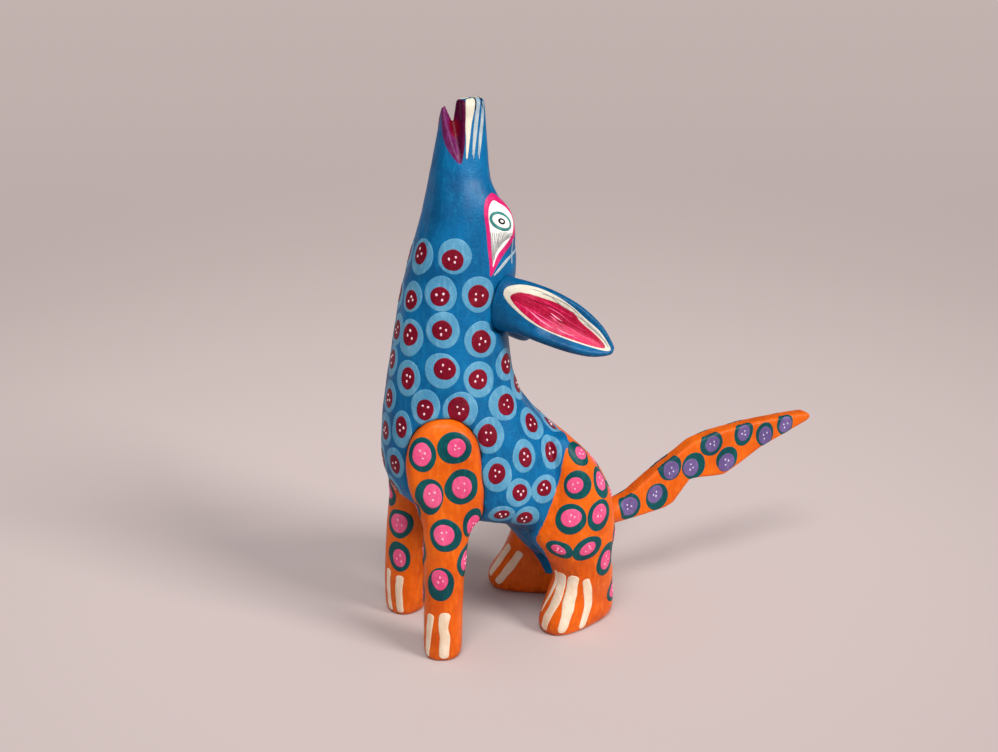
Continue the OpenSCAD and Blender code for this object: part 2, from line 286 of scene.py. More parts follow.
class Coat:
    """Dabs and strokes of one colour on one carving, as thin raised paint."""

    def __init__(self, carving, name, colour):
        self.carving, self.name, self.material = carving, name, materials[colour]
        self.verts, self.faces = [], []

    def spoke(self, centre, normal, heading, reach, bend):
        """Points and normals every half millimetre outwards, up to reach or a sharper bend."""
        point, walked, stride = centre, 0.0, 0.5 * MM
        path = [(point, normal)]
        lengths = [0.0]
        while reach - walked > 1e-7:
            step = min(reach - walked, stride)
            after, turned = self.carving.nearest(point + heading * step)
            heading = after - point
            heading -= turned * heading.dot(turned)
            if heading.length < 1e-9 or (turned.dot(normal) < bend and len(path) > 1):
                break
            heading.normalize()
            point = after
            walked += step
            path.append((point, turned))
            lengths.append(walked)
        path.append((point + heading * 0.1 * walked, path[-1][1]))
        lengths.append(1.1 * walked)
        return path, lengths

    def disc(self, centre, normal, up, radius, lift, dome=0.0, bend=-1.0):
        """A dab: its outline is radius(angle), walked outwards along the surface."""
        count, rings = 40, (0.16, 0.32, 0.46, 0.6, 0.72, 0.82, 0.9, 0.96, 1.0, 1.02)
        if radius(0) < MM:
            count, rings = 16, (0.5, 0.8, 0.96, 1.0, 1.02)
        drop = {0.96: 0.85, 1.0: 0.45, 1.02: -0.5}
        across = up.cross(normal).normalized()
        upward = normal.cross(across).normalized()
        first = len(self.verts)
        self.verts.append(centre + normal * lift * (1 + dome))
        loops = []
        for k in range(count):
            angle = 2 * pi * k / count
            heading = across * cos(angle) + upward * sin(angle)
            path, lengths = self.spoke(centre, normal, heading, radius(angle), bend)
            line = []
            for ring in rings:
                goal = ring * lengths[-2]
                i = min(int(np.searchsorted(lengths, goal, "right")), len(lengths) - 1)
                t = (goal - lengths[i - 1]) / (lengths[i] - lengths[i - 1])
                facing = path[i - 1][1].lerp(path[i][1], t).normalized()
                top = lift * (drop.get(ring, 1.0) + dome * (1 - ring ** 2))
                line.append(path[i - 1][0].lerp(path[i][0], t) + facing * top)
            loops.append(line)
        for ring in range(len(rings)):
            self.verts.extend(loops[k][ring] for k in range(count))
        self.skin(first, count, len(rings))

    def patch(self, outline, plane, lift, rings):
        """A filled shape: its outline is drawn in a plane and pressed on the surface."""
        origin, across, upward, away = plane
        middle = sum(outline, Vector((0, 0))) / len(outline)
        shares = [i / rings for i in range(1, rings)] + [0.97, 1.0, 1.02]
        first = len(self.verts)

        def press(p, height):
            at = origin + across * p.x + upward * p.y
            found, facing = self.carving.seen(at, away)
            if found is None:
                found, facing = self.carving.nearest(at)
            return found + facing * height

        self.verts.append(press(middle, lift))
        for share in shares:
            height = {0.97: lift * 0.8, 1.0: lift * 0.4, 1.02: -lift * 0.5}.get(share, lift)
            for p in outline:
                self.verts.append(press(middle + (p - middle) * share, height))
        self.skin(first, len(outline), len(shares))

    def skin(self, first, count, rings):
        """Faces over a middle point and the closed rings of points that follow it."""
        for k in range(count):
            after = (k + 1) % count
            self.faces.append((first, first + 1 + k, first + 1 + after))
            for ring in range(rings - 1):
                a, b = first + 1 + ring * count, first + 1 + (ring + 1) * count
                self.faces.append((a + k, b + k, b + after, a + after))

    def stroke(self, path, width, lift):
        """A brush stroke along points near the surface, width(share of the way) wide."""
        spacing, shakiness = 0.3 * MM, 0.05
        points = smooth_line([p * MM for p in path], spacing)
        spots = [self.carving.nearest(p) for p in points]
        walked = [0.0]
        for before, after in zip(spots, spots[1:]):
            walked.append(walked[-1] + (after[0] - before[0]).length)
        lanes = (-1.04, -1.0, -0.85, -0.5, 0.0, 0.5, 0.85, 1.0, 1.04)
        heights = (-0.5, 0.35, 0.85, 1.0, 1.0, 1.0, 0.85, 0.35, -0.5)
        first = len(self.verts)
        last = len(spots) - 1
        waves = [(rng.uniform(600, 1100), rng.uniform(0, 6.28)) for _ in range(2)]
        for i, (spot, facing) in enumerate(spots):
            before, after = spots[max(i - 1, 0)][0], spots[min(i + 1, last)][0]
            sideways = facing.cross(after - before).normalized()
            half = width(i / last) / 2
            from_end = min(walked[i], walked[-1] - walked[i])
            near_end = min(1.0, from_end / (0.9 * half) + 0.01)
            half *= sqrt(1 - (1 - near_end) ** 2)
            for lane, height in zip(lanes, heights):
                pace, phase = waves[lane > 0]
                shake = 1 + shakiness * sin(pace * walked[i] + phase)
                place, turned = self.carving.nearest(spot + sideways * lane * half * shake)
                self.verts.append(place + turned * lift * (height if 0 < i < last else -0.5))
        for i in range(len(spots) - 1):
            for j in range(len(lanes) - 1):
                a = first + i * len(lanes) + j
                self.faces.append((a, a + 1, a + 1 + len(lanes), a + len(lanes)))

    def finish(self):
        mesh = bpy.data.meshes.new(self.name)
        mesh.from_pydata([tuple(v) for v in self.verts], [], self.faces)
        mesh.validate()
        mesh.shade_smooth()
        mesh.materials.append(self.material)
        coat = placed(self.name, mesh)
        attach(coat, self.carving.body)


def curve_at(p0, p1, p2, p3, t):
    """The point at t, 0 to 1, of the smooth curve from p1 to p2 that p0 and p3 lead on."""
    return 0.5 * (2 * p1 + (p2 - p0) * t + (2 * p0 - 5 * p1 + 4 * p2 - p3) * t * t
                  + (3 * p1 - p0 - 3 * p2 + p3) * t ** 3)


def smooth_line(points, spacing):
    """Points along a smooth curve through the given ones."""
    line = []
    for i in range(len(points) - 1):
        p0, p1 = points[max(i - 1, 0)], points[i]
        p2, p3 = points[i + 1], points[min(i + 2, len(points) - 1)]
        steps = max(2, int((p2 - p1).length / spacing))
        line.extend(curve_at(p0, p1, p2, p3, j / steps) for j in range(steps))
    line.append(points[-1])
    return line


def closed_line(points, count):
    """A closed smooth outline through the given points, evenly sampled."""
    n = len(points)
    fine = []
    for i in range(n):
        corners = [points[(i + j) % n] for j in (-1, 0, 1, 2)]
        fine.extend(curve_at(*corners, j / 24) for j in range(24))
    lengths = [0.0]
    for before, after in zip(fine, fine[1:] + fine[:1]):
        lengths.append(lengths[-1] + (after - before).length)
    out, at = [], 0
    for k in range(count):
        goal = lengths[-1] * k / count
        while lengths[at + 1] < goal:
            at += 1
        out.append(fine[at])
    return out


def wobbly(wide, high, wobble):
    """Radius by angle of a hand-painted oval."""
    phases = [rng.uniform(0, 2 * pi) for _ in range(3)]
    sizes = [wobble * rng.uniform(0.5, 1) for _ in range(3)]

    def radius(angle):
        oval = 1 / hypot(cos(angle) / wide, sin(angle) / high)
        wave = sum(size / (waves - 1) * sin(waves * angle + phase)
                   for waves, size, phase in zip((2, 3, 5), sizes, phases))
        return oval * (1 + wave)
    return radius


# ---- paints

def new_material(name):
    mat = bpy.data.materials.new(name)
    mat.use_nodes = True
    return mat, mat.node_tree, mat.node_tree.nodes["Principled BSDF"]


def paint(name, colours, streak=(650, 650, 220)):
    """Brushed acrylic paint: streaks, thin and thick places, and fine brush marks in the gloss."""
    mat, tree, shader = new_material(f"{name}_paint")
    finish_paint(tree, shader, brushed(tree, colours, streak), 0.42, streak, 0.25)
    return mat


def node(tree, kind, **values):
    made = tree.nodes.new(kind)
    for key, value in values.items():
        if key in made.inputs:
            made.inputs[key].default_value = value
        else:
            setattr(made, key, value)
    return made


def spread(tree, scale, detail, stretch=None):
    """Noise in the figure's own space, between 0 and 1."""
    out = node(tree, "ShaderNodeTexCoord").outputs["Object"]
    if stretch is not None:
        mapping = node(tree, "ShaderNodeMapping", Scale=stretch)
        tree.links.new(out, mapping.inputs["Vector"])
        out = mapping.outputs["Vector"]
    noise = node(tree, "ShaderNodeTexNoise", Scale=scale, Detail=detail, Roughness=0.6)
    tree.links.new(out, noise.inputs["Vector"])
    return noise.outputs["Fac"]


def mix(tree, factor, first, second):
    """Blend of two colours, each a value or a socket."""
    blend = node(tree, "ShaderNodeMix", data_type="RGBA")
    tree.links.new(factor, blend.inputs["Factor"])
    colour_a, colour_b, colour_out = 6, 7, 2
    for place, value in ((colour_a, first), (colour_b, second)):
        if isinstance(value, tuple):
            blend.inputs[place].default_value = value
        else:
            tree.links.new(value, blend.inputs[place])
    return blend.outputs[colour_out]


def between(tree, socket, low, high, to_low=0.0, to_high=1.0):
    """A value between low and high, stretched to lie between to_low and to_high."""
    ends = {"From Min": low, "From Max": high, "To Min": to_low, "To Max": to_high}
    fit = node(tree, "ShaderNodeMapRange", **ends)
    tree.links.new(socket, fit.inputs["Value"])
    return fit.outputs["Result"]


def brushed(tree, colours, streak):
    """A paint's usual colour, with deeper patches and paler streaks."""
    colour, deep, pale = (srgb(*c) for c in colours)
    large = between(tree, spread(tree, 70, 5), 0.38, 0.66)
    marks = between(tree, spread(tree, 1, 4, streak), 0.5, 0.85, 0.0, 0.7)
    base = mix(tree, large, colour, deep)
    return mix(tree, marks, base, pale)


def finish_paint(tree, shader, colour, rough, streak, strength):
    """Colour, an uneven thin gloss, brush marks of some strength and the grain under them."""
    tree.links.new(colour, shader.inputs["Base Color"])
    gloss = between(tree, spread(tree, 220, 2), 0.3, 0.7, rough - 0.08, rough + 0.1)
    tree.links.new(gloss, shader.inputs["Roughness"])
    shader.inputs["Coat Weight"].default_value = 0.08
    shader.inputs["Coat Roughness"].default_value = 0.25
    shader.inputs["Specular IOR Level"].default_value = 0.13
    strokes = bumped(tree, spread(tree, 1, 4, streak), strength, 0.1 * MM)
    grain = bumped(tree, spread(tree, 1100, 3), 0.8, 0.2 * MM)
    tree.links.new(strokes.outputs["Normal"], grain.inputs["Normal"])
    tree.links.new(grain.outputs["Normal"], shader.inputs["Normal"])


def bumped(tree, height, strength, distance):
    made = node(tree, "ShaderNodeBump", Strength=strength, Distance=distance)
    tree.links.new(height, made.inputs["Height"])
    return made


def attribute(tree, name):
    return node(tree, "ShaderNodeAttribute", attribute_name=name).outputs["Fac"]


def combined(tree, operation, first, second):
    made = node(tree, "ShaderNodeMath", operation=operation)
    tree.links.new(first, made.inputs[0])
    tree.links.new(second, made.inputs[1])
    return made.outputs[0]


def edge(tree, name, wobble=0.5, soft=0.08):
    """0 or 1 by the sign of a distance in mm, with the wavering edge of a brush."""
    wave = between(tree, spread(tree, 260, 2), 0, 1, -wobble, wobble)
    return between(tree, combined(tree, "ADD", attribute(tree, name), wave), -soft, soft)


# Display colours, 0 to 255, of each paint: its usual one, its deeper patches, its pale streaks.
GROUNDS = {
    "blue": ((0, 100, 153), (0, 76, 122), (14, 124, 168)),
    "night": ((0, 90, 140), (0, 66, 108), (8, 110, 154)),
    "orange": ((230, 100, 8), (206, 80, 4), (248, 130, 34)),
    "plum": ((112, 34, 92), (84, 12, 64), (142, 66, 126)),
    "wine": ((84, 4, 50), (62, 0, 38), (118, 18, 70)),
}
PAINTS = {
    "sky_blue": ((88, 150, 181), (66, 130, 166), (134, 182, 206)),
    "crimson": ((118, 2, 31), (98, 0, 24), (152, 18, 48)),
    "scarlet": ((172, 8, 54), (146, 0, 42), (198, 34, 84)),
    "teal": ((2, 78, 81), (0, 62, 68), (16, 104, 104)),
    "pink": ((230, 88, 136), (212, 66, 116), (246, 132, 168)),
    "purple": ((108, 88, 142), (90, 72, 122), (138, 120, 168)),
    "cream": ((238, 222, 200), (222, 192, 160), (250, 244, 232)),
    "bone": ((217, 209, 190), (192, 185, 168), (236, 233, 220)),
    "white": ((246, 242, 236), (226, 222, 216), (255, 253, 250)),
    "pale_rose": ((240, 208, 216), (224, 180, 192), (252, 232, 236)),
    "blush": ((248, 176, 200), (238, 150, 180), (252, 208, 222)),
    "lilac": ((204, 196, 224), (182, 172, 206), (226, 220, 240)),
    "magenta": ((214, 34, 110), (190, 16, 96), (230, 80, 124)),
    "rose": ((200, 14, 76), (176, 4, 58), (224, 74, 120)),
    "sea_green": ((56, 132, 126), (30, 106, 104), (110, 168, 160)),
    "black": ((22, 18, 20), (12, 10, 12), (48, 42, 44)),
    "grey": ((160, 160, 158), (132, 132, 130), (192, 190, 186)),
    "thin_white": ((176, 184, 186), (112, 142, 162), (228, 228, 222)),
}
# Brown smear: old dirt, and painted shade in creases, at joints and near the floor.
SMEAR_AND_SHADE = srgb(150, 62, 12)
LONG_STREAK = (650, 650, 190)


def smeared_and_shaded(tree, colour, clean):
    """A colour smeared brown where the noise is over clean: partly old dirt, partly painted shade
    in creases, at joints and near the floor.
    """
    smears = between(tree, spread(tree, 300, 4), clean, 0.75)
    grime_and_shade = combined(tree, "MULTIPLY", attribute(tree, "grime_and_shade"), smears)
    return mix(tree, grime_and_shade, colour, SMEAR_AND_SHADE)


def body_paint():
    mat, tree, shader = new_material("blue_and_orange_paint")
    blue, orange, plum, wine = (brushed(tree, GROUNDS[name], LONG_STREAK)
                                for name in ("blue", "orange", "plum", "wine"))
    colour = mix(tree, edge(tree, "haunch"), blue, smeared_and_shaded(tree, orange, 0.45))
    # The upper jaw's face gets the darker wine: the mouth's paint, darkened there as painted
    # shade.
    inside = mix(tree, edge(tree, "shaded_upper_jaw", 0.2), plum, wine)
    # The brighter red oval deep in the mouth: the mouth's red paint, brightened as painted light
    # on the lit wall of the notch.
    lit_throat = brushed(tree, PAINTS["crimson"], LONG_STREAK)
    inside = mix(tree, edge(tree, "lit_throat", 0.8, 0.6), inside, lit_throat)
    colour = mix(tree, edge(tree, "mouth", 0.1, 0.12), colour, inside)
    finish_paint(tree, shader, colour, 0.4, LONG_STREAK, 0.35)
    return mat


def leg_paint():
    mat, tree, shader = new_material("orange_leg_paint")
    colour = smeared_and_shaded(tree, brushed(tree, GROUNDS["orange"], LONG_STREAK), 0.35)
    finish_paint(tree, shader, colour, 0.4, LONG_STREAK, 0.35)
    return mat


def bare_wood():
    mat, tree, shader = new_material("bare_copal_wood")
    grain = between(tree, spread(tree, 1, 5, (1400, 160, 1400)), 0.35, 0.7)
    colour = mix(tree, grain, srgb(222, 190, 140), srgb(186, 146, 96))
    tree.links.new(colour, shader.inputs["Base Color"])
    shader.inputs["Roughness"].default_value = 0.75
    tree.links.new(bumped(tree, grain, 0.4, 0.2 * MM).outputs["Normal"], shader.inputs["Normal"])
    return mat


# ---- the carved pieces

def seat_distance(p, side):
    """Distances of points from the plane of an ear's seat and from its axis."""
    joint = joint_named(f"{side}_ear_twist")
    axis = np.array(joint["axis"])
    out = p - np.array(joint["pos_m"]) / MM
    along = out @ axis
    return np.abs(along), np.linalg.norm(out - along[:, None] * axis, axis=1)


def joint_named(name):
    return next(j for j in frame["joints"] if j["name"] == name)


def sharp_sole(p):
    return 1 - ramp(p[:, 2], 0.5, 4)


def sharp_body(p):
    """How crisp it stays, 0 to 1: mouth, ears' seats and soles fully, the brow a little."""
    brow = 0.35 * ramp(p[:, 2], 138, 148)
    keep = np.maximum(np.maximum(ramp(p[:, 2], 164, 170), brow), sharp_sole(p))
    for side in SIDES.values():
        off, out = seat_distance(p, side)
        keep = np.maximum(keep, (1 - ramp(off, 0.8, 2)) * (1 - ramp(out, 10.2, 11.5)))
    return keep


def haunch_distance(p, to_back):
    """Distance in mm inside the orange of the haunches and hind legs, less than 0 outside.

    The blue of the belly runs down between the thighs, on faces that look forwards or down.
    """
    height = np.array([0, 34, 37, 40.5, 47, 54, 60, 69, 75, 80])
    front = np.array([-60, -46, -43, -43, -40.3, -37.8, -35, -33.2, -30.5, -28])
    behind = (p[:, 1] - np.interp(p[:, 2], height, front)) * 0.9
    top, foot = 79, 9
    outer = np.minimum(behind, top - p[:, 2])
    aside = np.abs(p[:, 0])
    inside = np.interp(p[:, 2], [9, 27.6, 34, 50], [13.5, 15.5, 20.5, 20.5]) - aside
    thigh = np.interp(p[:, 2], [9, 16, 23, 27, 33, 45], [-24, -27.3, -31.5, -36, -45, -50])
    crotch = np.maximum(p[:, 1] - thigh, 8.5 - aside)
    forwards = 6 * (0.3 - to_back)
    inner_blue = np.minimum(np.minimum(inside, crotch), np.minimum(p[:, 2] - foot, forwards))
    return -np.maximum(-outer, inner_blue)


def mouth_distances(p):
    """Paint zones of the mouth: how far inside it, and how far over to its upper jaw, whose darker
    paint is painted shade.

    The paint runs over the lower lip and a little over the upper one, and stops short of the
    mouth's corner.
    """
    over_tip, half_width = 193, 9.5
    floor, lower, upper = (NAPE + q for q in ((0, -16.2, 181.9), (0, -21.3, over_tip),
                                              (0, -14.2, over_tip)))
    depths, jaws = [], []
    for side, corner, low, high in ((1, (-16.7, 165.6), -33.5, -14.4),
                                    (-1, (-15.2, 166), -32, -9.5)):
        edge_x = half_width * side
        c = NAPE + (edge_x, *corner)
        b = NAPE + (edge_x, low, over_tip)
        u = NAPE + (edge_x, high, over_tip)
        below = np.maximum(beyond(p, c, floor, b, -1), beyond(p, floor, lower, b, -1))
        above = np.minimum(np.maximum(beyond(p, c, floor, u, 1), beyond(p, floor, upper, u, 1)),
                           np.maximum(beyond(p, c, floor, upper, 1), beyond(p, c, upper, u, 1)))
        lip = 0.25 + 2.3 * np.sin(np.pi * np.clip((p[:, 2] - 169) / 19, 0, 1))
        upper_lip = 0.25 + 0.8 * ramp(p[:, 2], 168, 177)
        depth = np.minimum(lip - below, upper_lip - above)
        depths.append(np.minimum(depth, 0.6 * (p[:, 2] - corner[1] - 3.9)))
        jaws.append(above - below)
    left = p[:, 0] > 0
    return np.where(left, *depths), np.where(left, *jaws)


def beyond(p, a, b, c, towards_back):
    """Distance of points beyond the plane through a, b and c, on its side towards +Y or -Y."""
    normal = np.cross(b - a, c - a)
    normal /= np.linalg.norm(normal) * np.sign(normal[1]) * towards_back
    return (p - a) @ normal


def throat_distance(p):
    """Distance in mm inside the oval of brighter red deep in the mouth, roughly: painted light on
    the lit wall deep in the notch.
    """
    q = (p - NAPE - (0.5, -16.8, 180)) / (4.5, 2.4, 3.6)
    return 2.5 * (1 - np.linalg.norm(q, axis=1))


def dirt_and_shade(carving, spots, least=0.0):
    """How much smear gathers near some points, 0 to 1: partly old paint and dirt, partly painted
    shade at joints, creases and feet.
    """
    total = np.zeros(len(carving.co)) + least
    for *spot, reach in spots:
        away = np.linalg.norm(carving.co / MM - spot, axis=1)
        total = np.maximum(total, 1 - ramp(away, 0.2 * reach, reach))
    carving.attribute("grime_and_shade", total)


def make_body():
    body = Carving("body", "figure", "blue_painted_wood", 0.65, 13, sharp_body, (10, 0.5, 0.45),
                   body_paint())
    p = body.co / MM
    mouth, upper = mouth_distances(p)
    haunch = haunch_distance(p, body.normals[:, 1])
    body.attribute("haunch", haunch)
    body.attribute("mouth", mouth)
    body.attribute("shaded_upper_jaw", upper)
    body.attribute("lit_throat", throat_distance(p))
    # Painted shade with the dirt: more smear just inside the low edge of the haunch's orange, most
    # near the floor, a little all over, and at the hind legs' knees and ankles.
    rim = (1 - ramp(haunch, 0.2, 3.2)) * (1 - ramp(p[:, 2], 52, 64)) * 0.8
    rim = np.maximum(rim, np.maximum(0.2, 0.75 * (1 - ramp(p[:, 2], 1, 8))))
    dirt_and_shade(body, [(20, -38, 42, 9), (20, -28, 25, 10), (-20, -28, 25, 10), (-20, -38, 42, 9),
                (16, -34, 27, 6), (-16, -34, 27, 6)], rim)
    return body


def make_foreleg(side, material):
    name = f"{side}_foreleg"
    leg = Carving(name, "figure", "orange_painted_wood", 0.5, 10, sharp_sole, (8, 0.4, 0.45),
                  material)
    low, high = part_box(name)
    middle = (low + high) / 2 / MM
    # Painted shade with the dirt: behind the top of the leg where it meets the body, and at the
    # foot on the floor.
    dirt_and_shade(leg, [(middle.x, high.y / MM - 2, 50, 10), (middle.x, middle.y, 1, 11)], 0.2)
    return leg


def make_ear(side, material):
    def sharp(p):
        return 1 - ramp(seat_distance(p, side)[0], 0.8, 2.6)
    name = f"{side}_ear"
    return Carving(name, name, "blue_painted_wood", 0.42, 7, sharp, (6, 0.3, 0.3), material)


def make_tail(material):
    tail = Carving("tail", "tail", "orange_painted_wood", 0.45, 34, None, (9, 0.3, 0.4), material)
    # Painted shade with the dirt at the tail's root, where it meets the body.
    dirt_and_shade(tail, [(0, -6, 34, 7)], 0.15)
    return tail


def make_dowel(name, body, material):
    """A whittled dowel with flats and pared ends, inside the CAD dowel's cylinder."""
    co = np.array([v.co for v in frame["nodes"][name].data.vertices])
    middle = co.mean(0)
    _, _, axes = np.linalg.svd(co - (co.min(0) + co.max(0)) / 2, full_matrices=False)
    along = Vector(axes[0])
    reach = (co - middle) @ axes[0]
    start, end = reach.min(), reach.max()
    across = along.orthogonal().normalized()
    other = along.cross(across)
    radius = np.linalg.norm((co - middle) - np.outer(reach, axes[0]), axis=1).max()
    sides, verts, faces = 36, [], []
    half = [(0, 0), (0, 0.72), (0.02, 0.86), (0.06, 0.97), (0.12, 1), (0.3, 0.995)]
    layers = half + [(0.5, 1)] + [(1 - share, size) for share, size in reversed(half)]
    dents = random.Random(len(name))
    flats = [0.975 + 0.025 * dents.random() for _ in range(12)]
    for share, size in layers:
        centre = Vector(middle) + along * (start + (end - start) * share)
        for k in range(sides):
            angle = 2 * pi * k / sides
            bulge = radius * size * flats[k * 12 // sides]
            out = across * cos(angle) + other * sin(angle)
            verts.append(centre + out * bulge)
    for i in range(len(layers) - 1):
        for k in range(sides):
            a, b = i * sides + k, i * sides + (k + 1) % sides
            faces.append((a, b, b + sides, a + sides))
    mesh = bpy.data.meshes.new(f"whittled_{name}")
    mesh.from_pydata([tuple(v) for v in verts], [], faces)
    mesh.materials.append(material)
    dowel = placed(f"whittled_{name}", mesh)
    tidy_mesh(mesh)
    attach(dowel, body)
    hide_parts(name)


def tidy_mesh(mesh):
    """Closes the ends where a layer has shrunk to a point, and turns the faces outwards."""
    edit = bmesh.new()
    edit.from_mesh(mesh)
    bmesh.ops.remove_doubles(edit, verts=edit.verts, dist=1e-6)
    bmesh.ops.recalc_face_normals(edit, faces=edit.faces)
    edit.to_mesh(mesh)
    edit.free()
    mesh.shade_smooth()


# ---- the painted pattern

OUT = {"left": Vector((1, 0, 0)), "right": Vector((-1, 0, 0)), "front": Vector((0, -1, 0)),
       "back": Vector((0, 1, 0))}


def turned(a, b, degrees):
    """Two square axes, or two lengths along them, turned in their plane."""
    angle = radians(degrees)
    return a * cos(angle) + b * sin(angle), b * cos(angle) - a * sin(angle)


class Dots:
    """Ring dots on one carving: a wide dab, a smaller one on it, and three specks."""

    def __init__(self, carving, name, colours, size, heart_share, bend=-1.0):
        self.carving = carving
        self.rings, self.hearts, self.specks = (
            Coat(carving, f"{name}_{part}", colour)
            for part, colour in zip(("rings", "hearts", "specks"), colours))
        self.size, self.heart_share, self.bend = size, heart_share, bend

    def add(self, view, u, z, wide=1.0, high=1.0, aside=None, above=None, tilt=0, heart=1.0):
        """One dot, u being Y from the sides and X from the front or back, in mm.

        Its heart may be set aside or above, in shares of the ring's half size.
        """
        away = OUT[view]
        place = Vector((0, u, z)) if away.x else Vector((u, 0, z))
        centre, normal = self.carving.seen(place * MM, away)
        if centre is None:
            return
        up = Vector((0, 0, 1)) - normal * normal.z
        if up.length < 0.2:
            up = Vector((0, 1, 0)) - normal * normal.y
        up.normalize()
        side = up.cross(normal)
        side, up = turned(side, up, tilt)
        w, h = self.size[0] * wide * MM, self.size[1] * high * MM
        lift = rng.uniform(0.085, 0.115) * MM
        self.rings.disc(centre, normal, up, wobbly(w, h, 0.04), lift, 0.0, self.bend)
        aside = rng.uniform(-0.1, 0.1) if aside is None else aside
        above = rng.uniform(-0.1, 0.1) if above is None else above
        middle, facing = self.carving.nearest(centre + side * aside * w + up * above * h)
        share_w, share_h = self.heart_share
        grown = rng.uniform(0.94, 1.08) * heart
        heart_oval = wobbly(w * share_w * grown, h * share_h * grown, 0.04)
        self.hearts.disc(middle, facing, up, heart_oval, lift * 2.0, 0.0, self.bend)
        start = rng.uniform(0, 2 * pi)
        for k in range(3):
            angle = start + 2 * pi * k / 3 + rng.uniform(-0.45, 0.45)
            out = rng.uniform(0.16, 0.27) * heart
            spot = middle + side * cos(angle) * out * w + up * sin(angle) * out * h
            found, facing = self.carving.nearest(spot)
            dot = wobbly(rng.uniform(0.3, 0.44) * MM, rng.uniform(0.36, 0.54) * MM, 0.08)
            self.specks.disc(found, facing, up, dot, lift * 2.6, 0.5)

    def add_both(self, spots):
        """The spots on the left flank, and about the same ones on the right."""
        for spot in spots:
            self.add("left", *spot)
        for u, z, *rest in spots:
            self.add("right", u + rng.uniform(-1, 1), z + rng.uniform(-1, 1), *rest[:2])

    def finish(self):
        for coat in (self.rings, self.hearts, self.specks):
            coat.finish()


def paint_body_dots(body):
    neck = Dots(body, "neck_dot", ("sky_blue", "crimson", "pale_rose"), (5.7, 5.9), (0.6, 0.61))
    for spot in [
            (4.6, 140.3, 1, 1, -0.05, 0.15), (5, 127.3, 0.85, 0.85, 0, -0.2),
            (-0.5, 115.5, 0.8, 0.95), (7.6, 114.3, 0.86, 1.05, 0, 0.15), (-0.5, 105, 0.78, 0.92),
            (8.8, 101, 0.8, 1.05), (1.5, 93, 0.78, 0.92), (0.5, 81.5, 0.78, 0.95),
            (9.1, 83.5, 0.72, 1.08, 0, 0.15), (6.3, 71, 0.75, 0.95), (-6, 126, 0.9, 0.9),
            (-9.5, 110, 0.85, 1), (-10, 98, 0.85, 1), (-10, 86, 0.8, 1), (-3, 70, 0.75, 1),
            (-9, 75, 0.75, 0.9), (1, 60.5, 0.8, 0.8), (-7, 139, 0.9, 0.95)]:
        neck.add("front", *spot)
    neck.add_both([
        (-69, 140.8, 1, 0.95, -0.13, -0.2), (-74, 129, 0.95, 0.95, -0.05, -0.15),
        (-61.5, 128, 1.05, 0.97, 0, -0.1), (-74, 117.3, 1, 0.98), (-61, 113, 1.05, 1.05),
        (-75, 104, 1, 1, 0.15, 0.1), (-62.5, 100, 1.02, 1), (-50.5, 102.5, 1, 0.97),
        (-80.9, 92, 0.88, 1, 0, -0.13), (-70, 90.5, 1.03, 1.1, -0.1, 0.08),
        (-53.5, 90.3, 1.12, 1.02, 0.16, -0.1), (-60.6, 81, 1, 1.07), (-42, 81, 1, 1),
        (-47.8, 72, 0.78, 1), (-36.5, 71, 0.75, 1.02), (-31.5, 77, 0.7, 0.9),
        (-58.3, 67.2, 0.92, 1.05), (-50.6, 59.6, 0.84, 0.85), (-40.8, 59.2, 0.88, 0.86),
        (-56.5, 52, 0.85, 0.62), (-47.5, 48.8, 0.88, 0.9)])
    for spot in [(9, 94), (-7, 96), (0, 108), (1, 82), (1, 121), (0, 134)]:
        neck.add("back", *spot, 0.95, 0.95)
    neck.finish()

    haunch = Dots(body, "haunch_dot", ("teal", "pink", "blush"), (5.2, 5.5), (0.62, 0.58))
    haunch.add_both([
        (-26.8, 70, 0.82, 0.86, 0.15, -0.1, 25, 0.9), (-29, 59.7, 0.95, 0.97, -0.22, 0, 0, 0.95),
        (-18.6, 58.5, 0.9, 1.05), (-32, 47.7, 1.1, 1, 0, 0.1), (-20.8, 47.3, 1, 1.1),
        (-35.6, 36, 1.1, 0.62, -0.1, 0, -38, 0.9), (-25.2, 35.2, 1.18, 0.85, 0, 0, 24, 0.85),
        (-15.6, 27.8, 0.95, 1.25)])
    for spot in [(-6, 63), (6, 61), (0, 49.5), (-10, 47), (11, 47), (-17, 40), (18, 36),
                 (-17, 14), (15, 11)]:
        haunch.add("back", *spot)
    haunch.finish()


def paint_foreleg_dots(leg, side, front, rear, back):
    dots = Dots(leg, f"{side}_foreleg_dot", ("teal", "pink", "blush"), (5.3, 6.1), (0.6, 0.62))
    for u, z, wide, high, aside, above, heart in (
            (-83.8, 77.2, 0.88, 1, 0, 0, 1.05), (-73.8, 79.3, 1.05, 0.9, 0.12, 0.02, 0.88),
            (-82, 62.3, 0.92, 1.08, 0.25, 0.05, 1.12), (-71.9, 65.7, 1.07, 1.04, 0, 0, 1),
            (-77.3, 48.3, 1.04, 0.97, -0.1, 0.05, 1), (-79.2, 30.2, 0.92, 1.02, -0.05, 0.3, 0.95)):
        if side == "right":
            u, z = u + rng.uniform(-1, 1), z + rng.uniform(-1.5, 1.5)
        dots.add(side, u, z, wide, high, aside, above, 0, heart)
    for view, spots in (("front", front), (side, rear), ("back", back)):
        for spot in spots:
            dots.add(view, *spot)
    dots.finish()


